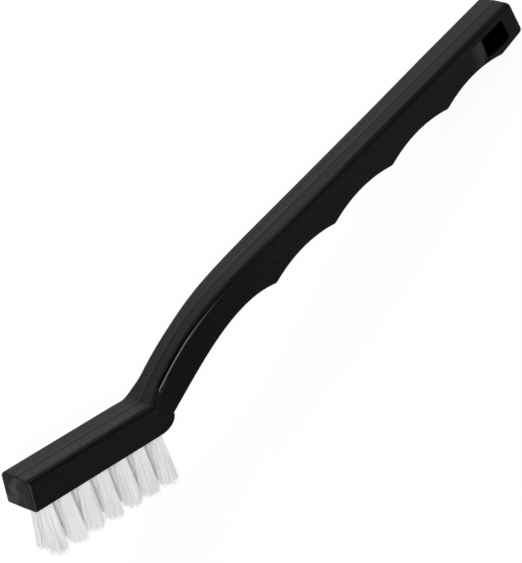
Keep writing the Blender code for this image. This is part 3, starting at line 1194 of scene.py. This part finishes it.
    def ring(self, y: float, lift: float) -> list[Triple]:
        """The handle's outline at one distance from its middle, which is less where its back is narrow.

        Args:
            y: The signed distance.
            lift: How far the seam's ridge stands out there.

        Returns:
            The outline's points.
        """
        far = 0.5 + 0.5 * math.tanh(y / self.crease_turn)
        runs = self.runs(self.crease_round + (self.far_crease_round - self.crease_round) * far)
        sides = self.drawn_in(runs, y, lift)
        cuts = [cut_back(sides[i], sides[(i + 1) % len(sides)], run.end_round) for i, run in enumerate(runs)]
        trimmed = [between(side, cuts[i - 1], cuts[i]) for i, side in enumerate(sides)]
        points, owners = [], []
        for i, run in enumerate(runs):
            side, after = trimmed[i], trimmed[(i + 1) % len(runs)]
            points.append(side if run.end_round else side[:-1])
            if run.end_round:
                leave, arrive = unit(side[-1] - side[-2]), unit(after[1] - after[0])
                points.append(bend(side[-1], leave, after[0], arrive, self.turns))
            owners += [run.edge] * (sum(map(len, points)) - len(owners))
        places = zip(owners, np.concatenate(points))
        return [(x, y * (self.waist(x) if edge is Edge.BACK else 1.0), z) for edge, (x, z) in places]

    def levels(self) -> list[tuple[float, float]]:
        """The distances from the middle that the surface is drawn at.

        Returns:
            Each distance, from the near side to the far one, with the seam's lift there.
        """
        near = [(depth - self.width / 2, 0.0) for depth in self.depths]
        middle = [(y, share * self.seam_height) for y, share in zip(self.seam_places, self.seam_lift_shares)]
        return near + middle + [(-y, lift) for y, lift in near[::-1]]

    def shell(self) -> Mesh:
        """The handle before its holes are cut.

        Returns:
            A closed mesh in the head's frame.
        """
        bm = bmesh.new()
        loops = [[bm.verts.new(point) for point in self.ring(y, lift)] for y, lift in self.levels()]
        skin(bm, loops)
        for rim in (loops[0], loops[-1]):
            self.fill_side(bm, rim)
        return closed(bm, "handle_shell")

    def across_waist(self, rim: Loop) -> list[Triple]:
        """Rows of points inside a side face along the waist, where it isn't flat.

        Args:
            rim: The side face's outline.

        Returns:
            The points, each as far in as the nearest parts of the outline are.
        """
        flat = np.array([(vert.co.x, vert.co.z) for vert in rim])
        side = rim[0].co.y
        lean = np.array([1 - vert.co.y / side for vert in rim])
        following = np.roll(flat, -1, axis=0)
        along = following - flat
        inner = []
        for x in np.arange(self.head_length, self.flat_end[0], self.side_pitch):
            for z in np.arange(flat[:, 1].min(), flat[:, 1].max(), self.side_pitch):
                away = np.array([x, z]) - flat
                reach = np.clip((away * along).sum(1) / (along**2).sum(1), 0, 1)
                gaps = np.linalg.norm(away - reach[:, None] * along, axis=1)
                crossings = (flat[:, 1] > z) != (following[:, 1] > z)
                slope = np.divide(along[:, 0], along[:, 1], out=np.zeros(len(flat)), where=crossings)
                inside = np.count_nonzero(crossings & (x < flat[:, 0] + (z - flat[:, 1]) * slope)) % 2
                if inside and gaps.min() > self.side_pitch / 2:
                    weights = np.linalg.norm(along, axis=1) / gaps**2
                    inner.append((x, side * (1 - weights @ lean / weights.sum()), z))
        return inner

    def fill_side(self, bm: BMesh, rim: Loop) -> None:
        """Fills a side face.

        Args:
            bm: The handle's mesh.
            rim: The side face's outline.
        """
        verts = rim + [bm.verts.new(point) for point in self.across_waist(rim)]
        places = [Vector((vert.co.x / MM, vert.co.z / MM)) for vert in verts]
        edges = [(i - 1 if i else len(rim) - 1, i) for i in range(len(rim))]
        _, _, triangles, sources, _, _ = delaunay_2d_cdt(places, edges, [], 1, self.same_point)
        for triangle in triangles:
            bm.faces.new([verts[sources[i][0]] for i in triangle])

    def hole_outline(self, start: float) -> list[Array]:
        """The hang hole's outline with rounded corners.

        Args:
            start: Where its head side lies along the grip.

        Returns:
            The outline's points.
        """
        low, end = -self.hole_top - self.hole_height, self.hole_end
        corners = [(start, low), (end + self.hole_lean, low), (end, -self.hole_top), (start, -self.hole_top)]
        corners = [self.on_grip(*corner) for corner in corners]
        outline = []
        for i, corner in enumerate(corners):
            before, after = unit(corners[i - 1] - corner), unit(corners[(i + 1) % 4] - corner)
            first, last = corner + before * self.hole_round, corner + after * self.hole_round
            outline += [first, *bend(first, -before, last, after, self.hole_turns), last]
        return outline

    def hang_hole(self) -> Mesh:
        """The cutter of the hang hole.

        Returns:
            A closed mesh, flared where the hole's head side comes out through each side face.
        """
        half = self.width / 2
        inner = half - self.flare_depth
        flared = np.linspace(half, inner, self.flare_points)
        ys = np.concatenate([[-half - self.overrun], -flared, flared[::-1], [half + self.overrun]])
        bm = bmesh.new()
        loops = []
        for y in ys:
            past = min(1.0, max(0.0, (abs(y) - inner) / self.flare_depth))
            flare = self.flare_length * (1 - math.sqrt(1 - past**2))
            outline = self.hole_outline(self.hole_end - self.hole_length - flare)
            loops.append([bm.verts.new((x, y, z)) for x, z in outline])
        skin(bm, loops)
        bm.faces.new(loops[0])
        bm.faces.new(reversed(loops[-1]))
        return closed(bm, "hang_hole")

    def tuft_holes(self, head: HeadFrame) -> Mesh:
        """The cutter of all the tuft holes.

        Args:
            head: The head's frame, which places the holes.

        Returns:
            A mesh of closed cylinders.
        """
        bm = bmesh.new()
        radius = self.tuft_hole / 2
        for row, column in head.holes:
            middle = head.mouth(row, column) + Vector((0, 0, (self.tuft_hole_depth - self.overrun) / 2))
            bmesh.ops.create_cone(
                bm,
                cap_ends=True,
                segments=self.tuft_hole_sides,
                radius1=radius,
                radius2=radius,
                depth=self.tuft_hole_depth + self.overrun,
                matrix=Matrix.Translation(middle),
            )
        return closed(bm, "tuft_holes")

    def build(self, head: HeadFrame, finish: Material) -> Object:
        """Builds the handle and puts it in place of its solid.

        Args:
            head: The head's frame.
            finish: Its material.

        Returns:
            The piece.
        """
        whole = linked("handle_whole", self.shell())
        cutters = []
        for mesh in (self.hang_hole(), self.tuft_holes(head)):
            cutter = linked(mesh.name, mesh)
            cut = whole.modifiers.new(mesh.name, "BOOLEAN")
            cut.operation, cut.solver, cut.object = "DIFFERENCE", "EXACT", cutter
            cutters.append(cutter)
        graph = bpy.context.evaluated_depsgraph_get()
        mesh = bpy.data.meshes.new_from_object(whole.evaluated_get(graph))
        mesh.name = "moulded_handle"
        for obj in (whole, *cutters):
            bpy.data.objects.remove(obj)
        mesh.transform(head.matrix)
        mesh.materials.clear()
        mesh.materials.append(finish)
        mesh.shade_smooth()
        mesh.set_sharp_from_angle(angle=self.sharp_angle)
        return add_piece("moulded_handle", mesh, "black_plastic", "handle")


# Tufts


class TuftTree:
    """The node tree that grows one tuft: strands that leave one hole and splay out to ragged tips."""

    INPUTS = {
        "Int": ("Strands", "Seed"),
        "Float": (
            *("Root Radius", "Tip Radius", "Start Depth", "Length", "Length Scatter"),
            *("Strand Radius", "Stray", "Bow", "Floor Gap"),
        ),
        "Vector": ("Lean", "Mouth", "Along", "Across", "Out"),
        "Material": ("Finish",),
    }
    SPARE = ("root", "span", "bow")
    STEPS = 6
    SIDES = 5
    LEAST_STRAY = 0.35
    STRAY_POWER = 3.0
    BOW_SHAPE = 1.5

    def __init__(self) -> None:
        """Builds the tree."""
        self.tree = bpy.data.node_groups.new("bristle_tuft", "GeometryNodeTree")
        for kind, names in self.INPUTS.items():
            for name in names:
                self.tree.interface.new_socket(name, in_out="INPUT", socket_type=f"NodeSocket{kind}")
        self.tree.interface.new_socket("Tuft", in_out="OUTPUT", socket_type="NodeSocketGeometry")
        self.wiring = Wiring(self.tree)
        self.given = self.wiring.add("NodeGroupInput").outputs
        self.index = self.wiring.result("GeometryNodeInputIndex")
        strands = self.lines(self.points(*self.root_and_span()))
        self.wiring.give(self.wiring.add("NodeGroupOutput"), {"Tuft": self.tubes(strands)})

    def draw(self, low: Value, high: Value, shift: int, kind: str = "FLOAT") -> Socket:
        """A random number or vector for each strand.

        Args:
            low: The least that it can be.
            high: The most that it can be.
            shift: What is added to the tuft's seed.
            kind: The data type.

        Returns:
            The drawn value.
        """
        seed = self.wiring.math("ADD", self.given["Seed"], shift)
        node = self.wiring.add("FunctionNodeRandomValue", data_type=kind)
        values = {"Min": low, "Max": high, "ID": self.index, "Seed": seed}
        for number, socket in enumerate(node.inputs):
            if socket.enabled:
                self.wiring.give(node, {number: values[socket.name]})
        return next(output for output in node.outputs if output.enabled)

    def in_place(self, x: Value, y: Value, z: Value) -> Socket:
        """A point given along the tuft's own axes.

        Args:
            x: How far along the head.
            y: How far across it.
            z: How far into the hole from its mouth.

        Returns:
            The point in the world.
        """
        wiring, given = self.wiring, self.given
        parts = [wiring.scaled(given[way], size) for way, size in zip(("Along", "Across", "Out"), (x, y, z))]
        flat = wiring.vector("ADD", parts[0], parts[1])
        return wiring.vector("ADD", given["Mouth"], wiring.vector("ADD", flat, parts[2]))

    def root_and_tip(self) -> tuple[Socket, Socket]:
        """Each strand's root, in a sunflower pattern, and its tip, which keeps that order.

        Returns:
            The root and the tip.
        """
        wiring, given = self.wiring, self.given
        share = wiring.math("DIVIDE", wiring.math("ADD", self.index, 0.5), given["Strands"])
        reach = wiring.math("SQRT", share)
        angle = wiring.product(self.index, math.pi * (3 - math.sqrt(5)))
        turns = wiring.math("COSINE", angle), wiring.math("SINE", angle)
        lean = wiring.add("ShaderNodeSeparateXYZ", {0: given["Lean"]}).outputs
        wild = wiring.math("POWER", self.draw(0.0, 1.0, 1), self.STRAY_POWER)
        astray = wiring.product(given["Stray"], wiring.math("ADD", wild, self.LEAST_STRAY))
        tip_reach = wiring.product(reach, given["Tip Radius"])
        tip = []
        for axis, turn in enumerate(turns):
            aside = wiring.product(astray, self.draw(-1.0, 1.0, 2 + axis))
            tip.append(wiring.math("ADD", wiring.math("MULTIPLY_ADD", tip_reach, turn, lean[axis]), aside))
        short = wiring.product(given["Length Scatter"], self.draw(0.0, 1.0, 4))
        root = (wiring.product(reach, given["Root Radius"], turn) for turn in turns)
        tip_height = wiring.math("SUBTRACT", short, given["Length"])
        return self.in_place(*root, given["Start Depth"]), self.in_place(*tip, tip_height)

    def root_and_span(self) -> tuple[Socket, Socket]:
        """Each strand's root, and its way to its tip or to where it meets the surface that it stands on.

        Returns:
            The root and the way.
        """
        wiring = self.wiring
        root, tip = self.root_and_tip()
        high, low = (wiring.add("ShaderNodeSeparateXYZ", {0: end}).outputs["Z"] for end in (root, tip))
        room = wiring.math("SUBTRACT", high, self.given["Floor Gap"])
        kept = wiring.math("MINIMUM", wiring.math("DIVIDE", room, wiring.math("SUBTRACT", high, low)), 1.0)
        return root, wiring.scaled(wiring.vector("SUBTRACT", tip, root), kept)

    def stored(self, geometry: Socket, name: str, value: Socket, kind: str = "FLOAT") -> Socket:
        """The geometry with one more named attribute on its points."""
        values = {"Geometry": geometry, "Name": name, "Value": value}
        return self.wiring.result("GeometryNodeStoreNamedAttribute", values, data_type=kind, domain="POINT")

    def points(self, root: Socket, span: Socket) -> Socket:
        """Makes one point for each strand.

        Args:
            root: The strand's root.
            span: Its way to its tip.

        Returns:
            The points, which carry what the strands' lines are drawn from.
        """
        bow = self.draw((-1, -1, -1), (1, 1, 1), 5, "FLOAT_VECTOR")
        points = self.wiring.result("GeometryNodePoints", {"Count": self.given["Strands"]})
        carried = (root, span, self.wiring.scaled(bow, self.given["Bow"]))
        for name, value in zip(self.SPARE, carried):
            points = self.stored(points, name, value, "FLOAT_VECTOR")
        return self.stored(points, "strand_tone", self.draw(0.0, 1.0, 6))

    def lines(self, points: Socket) -> Socket:
        """Draws the strands' middle lines.

        Args:
            points: The strands' points.

        Returns:
            The lines, slightly bowed.
        """
        wiring = self.wiring
        line = wiring.result("GeometryNodeCurvePrimitiveLine")
        line = wiring.result("GeometryNodeResampleCurve", {"Curve": line, "Count": self.STEPS + 1})
        strands = wiring.result("GeometryNodeInstanceOnPoints", {"Points": points, "Instance": line})
        strands = wiring.result("GeometryNodeRealizeInstances", {"Geometry": strands})
        along = wiring.add("GeometryNodeSplineParameter").outputs["Factor"]
        root, span, bow = (
            wiring.result("GeometryNodeInputNamedAttribute", {"Name": name}, data_type="FLOAT_VECTOR")
            for name in self.SPARE
        )
        hump = wiring.product(along, along, wiring.math("SUBTRACT", self.BOW_SHAPE, along))
        place = wiring.vector("ADD", root, wiring.scaled(span, along))
        place = wiring.vector("ADD", place, wiring.scaled(bow, hump))
        strands = wiring.result("GeometryNodeSetPosition", {"Geometry": strands, "Position": place})
        return self.stored(strands, "strand_share", along)

    def tubes(self, strands: Socket) -> Socket:
        """Gives the strands their thickness.

        Args:
            strands: Their middle lines.

        Returns:
            The tuft's mesh, with its finish.
        """
        wiring, given = self.wiring, self.given
        values = {"Resolution": self.SIDES, "Radius": given["Strand Radius"]}
        section = wiring.result("GeometryNodeCurvePrimitiveCircle", values)
        values = {"Curve": strands, "Profile Curve": section, "Fill Caps": True}
        tuft = wiring.result("GeometryNodeCurveToMesh", values)
        tuft = wiring.result("GeometryNodeSetShadeSmooth", {"Geometry": tuft})
        tuft = wiring.result("GeometryNodeRealizeInstances", {"Geometry": tuft})
        values = {"Geometry": tuft, "Material": given["Finish"]}
        return wiring.result("GeometryNodeSetMaterial", values)

    def grow(self, name: str, values: dict[str, object]) -> Mesh:
        """Grows one tuft.

        Args:
            name: The name of its mesh.
            values: What goes into the tree's inputs.

        Returns:
            The tuft's plain mesh.
        """
        seedling = linked(name, bpy.data.meshes.new(name))
        grower = seedling.modifiers.new("bristles", "NODES")
        grower.node_group = self.tree
        for item in self.tree.interface.items_tree:
            if item.in_out == "INPUT":
                grower[item.identifier] = values[item.name]
        graph = bpy.context.evaluated_depsgraph_get()
        mesh = bpy.data.meshes.new_from_object(seedling.evaluated_get(graph))
        bpy.data.objects.remove(seedling)
        for spare in self.SPARE:
            mesh.attributes.remove(mesh.attributes[spare])
        mesh.name = name
        return mesh


@dataclass
class Tufts:
    """The bristle tufts."""

    strands: int = 260
    root_radius: float = 1.3 * MM
    tip_radius: float = 2.35 * MM
    start_depth: float = 1.6 * MM
    length: float = 14.4 * MM
    length_scatter: float = 1.35 * MM
    strand_radius: float = 0.085 * MM
    stray: float = 0.65 * MM
    bow: float = 0.3 * MM
    rear_lean: float = 0.35 * MM
    row_leans: Span = (-1.0 * MM, 0.0 * MM)
    lean_scatter: float = 0.2 * MM
    floor_gap: float = 0.22 * MM
    seed: int = 11
    row_seeds: int = 100
    column_seeds: int = 10

    def shared(self, head: HeadFrame, finish: Material) -> dict[str, object]:
        """What every tuft's tree is given.

        Args:
            head: The head's frame.
            finish: The tufts' material.

        Returns:
            The values by the tree's input. Each of these sizes is there under its own name in title case.
        """
        sizes = {name.replace("_", " ").title(): size for name, size in vars(self).items()}
        ways = {"Along": tuple(head.along), "Across": tuple(head.across), "Out": tuple(head.out)}
        return {**sizes, **ways, "Finish": finish}

    def build(self, head: HeadFrame, finish: Material) -> list[Object]:
        """Builds all the tufts and puts each in place of its solid.

        Args:
            head: The head's frame, which holds the rows and columns.
            finish: Their material.

        Returns:
            The pieces.
        """
        tree, shared = TuftTree(), self.shared(head, finish)
        rng = np.random.default_rng(self.seed)
        pieces = []
        for row, column in head.holes:
            aside = rng.uniform(-self.lean_scatter, self.lean_scatter, 2)
            own = {
                "Lean": (self.rear_lean + aside[0], self.row_leans[row] + aside[1], 0.0),
                "Mouth": tuple(head.matrix @ head.mouth(row, column)),
                "Seed": self.row_seeds * row + self.column_seeds * column,
            }
            label = f"row{row + 1}_{column + 1}"
            name = f"bristles_{label}"
            mesh = tree.grow(name, shared | own)
            pieces.append(add_piece(name, mesh, "white_nylon", f"tuft_{label}"))
        return pieces


@dataclass
class Anchors:
    """The flat wire anchors, which keep their solids."""

    def dress(self, finish: Material) -> None:
        """Gives every anchor its finish.

        Args:
            finish: The anchors' material.
        """
        nodes = [node for name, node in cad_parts.items() if name.startswith("anchor_")]
        for node in nodes:
            node.data.materials.clear()
            node.data.materials.append(finish)
        log.info("anchors: %d dressed", len(nodes))


# Studio


@dataclass
class Panel:
    """A soft rectangular light."""

    name: str
    place: Triple
    aim: Triple
    width: float
    height: float
    power: float

    def build(self) -> None:
        """Adds the light."""
        lamp = bpy.data.lights.new(self.name, "AREA")
        lamp.shape, lamp.size, lamp.size_y, lamp.energy = "RECTANGLE", self.width, self.height, self.power
        holder = linked(self.name, lamp)
        holder.location = self.place
        holder.rotation_euler = (Vector(self.aim) - Vector(self.place)).to_track_quat("-Z", "Y").to_euler()


@dataclass
class PhotoCamera:
    """The camera at the photograph's place, with its lens as for a 36 mm sensor."""

    place: Triple = (-0.265902, -0.509429, 0.462264)
    aim: Triple = (-0.008101, 0.000192, 0.014038)
    roll: float = math.radians(-34.993)
    lens: float = 184.13
    sensor: float = 36.0
    clip_start: float = 0.01

    def build(self) -> None:
        """Adds the camera and makes it the scene's."""
        camera = bpy.data.cameras.new("photo_camera")
        camera.sensor_width, camera.lens, camera.clip_start = self.sensor, self.lens, self.clip_start
        holder = linked("photo_camera", camera)
        ahead = (Vector(self.aim) - Vector(self.place)).normalized()
        level = ahead.cross(Vector(UP)).normalized()
        up = level.cross(ahead)
        right = math.cos(self.roll) * level + math.sin(self.roll) * up
        turn = Matrix((right, right.cross(ahead), -ahead)).transposed()
        holder.matrix_world = Matrix.LocRotScale(Vector(self.place), turn, None)
        bpy.context.scene.camera = holder


@dataclass
class Studio:
    """A plain pale floor, soft lights, and the camera."""

    floor_size: float = 6.0
    floor_colour: Colour = (0.966, 0.966, 0.966)
    floor_roughness: float = 0.9
    glow: float = 1.047
    glow_share: float = 0.88
    fill: float = 0.22
    camera: PhotoCamera = field(default_factory=PhotoCamera)
    panels: list[Panel] = field(
        default_factory=lambda: [
            Panel("rear_panel", (0.25, 0.83, 0.7), (0, 0, 0.02), 1.4, 0.9, 5.2),
            Panel("front_panel", (-0.46, -0.83, 0.72), (-0.08, 0, 0.01), 0.3, 0.25, 6.7),
        ]
    )

    def build_floor(self) -> None:
        """Adds the floor, which shows white and keeps the brush's shadow."""
        bm = bmesh.new()
        bmesh.ops.create_grid(bm, x_segments=1, y_segments=1, size=self.floor_size / 2)
        mesh = bpy.data.meshes.new("floor")
        bm.to_mesh(mesh)
        bm.free()
        floor = linked("floor", mesh)
        made, wiring, shader = new_material("pale_floor")
        values = {"Base Color": (*self.floor_colour, 1), "Roughness": self.floor_roughness}
        wiring.give(shader, {**values, "Specular IOR Level": 0.0})
        glow = wiring.result("ShaderNodeEmission", {"Color": WHITE, "Strength": self.glow})
        share = wiring.product(self.seen_by_the_eye(wiring), self.glow_share)
        mixed = wiring.result("ShaderNodeMixShader", {0: share, 1: shader.outputs[0], 2: glow})
        wiring.give(wiring.tree.nodes["Material Output"], {"Surface": mixed})
        mesh.materials.append(made)

    @staticmethod
    def seen_by_the_eye(wiring: Wiring) -> Socket:
        """Whether a ray comes from the camera, straight or by way of a reflection or through glass.

        Args:
            wiring: The wiring of the floor's material or of the world.

        Returns:
            1 where it does, and 0 elsewhere.
        """
        rays = wiring.add("ShaderNodeLightPath").outputs
        seen = wiring.math("MAXIMUM", rays["Is Camera Ray"], rays["Is Glossy Ray"])
        return wiring.math("MAXIMUM", seen, rays["Is Transmission Ray"])

    def build_world(self) -> None:
        """Makes the world white to the eye, and a soft fill otherwise."""
        world = bpy.data.worlds.new("studio")
        bpy.context.scene.world = world
        world.use_nodes = True
        wiring = Wiring(world.node_tree)
        strength = wiring.math("MULTIPLY_ADD", self.seen_by_the_eye(wiring), 1.0 - self.fill, self.fill)
        wiring.give(world.node_tree.nodes["Background"], {"Color": WHITE, "Strength": strength})

    def build(self) -> None:
        """Adds the floor, the world, the lights and the camera."""
        self.build_floor()
        self.build_world()
        for panel in self.panels:
            panel.build()
        self.camera.build()
        bpy.context.scene.view_settings.view_transform = "Standard"
        log.info("studio: %d panels", len(self.panels))


def clear_startup() -> None:
    """Removes what Blender starts with."""
    for name in ("Cube", "Light", "Camera"):
        if name in bpy.data.objects:
            bpy.data.objects.remove(bpy.data.objects[name])


def main() -> None:
    """Builds the brush's looks and the studio round it."""
    logging.basicConfig(level=logging.INFO, format="%(name)s %(message)s")
    clear_startup()
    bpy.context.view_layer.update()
    head = HeadFrame.from_anchors()
    lines, grain = drawn_lines_group(), fine_grain_group()
    handle = Handle()
    handle.build(head, BlackPlastic().build(head, handle.window, lines, grain))
    Tufts().build(head, WhiteNylon().build(head, lines))
    Anchors().dress(DrawnWire().build(lines, grain))
    Studio().build()


if __name__ == "__main__":
    main()
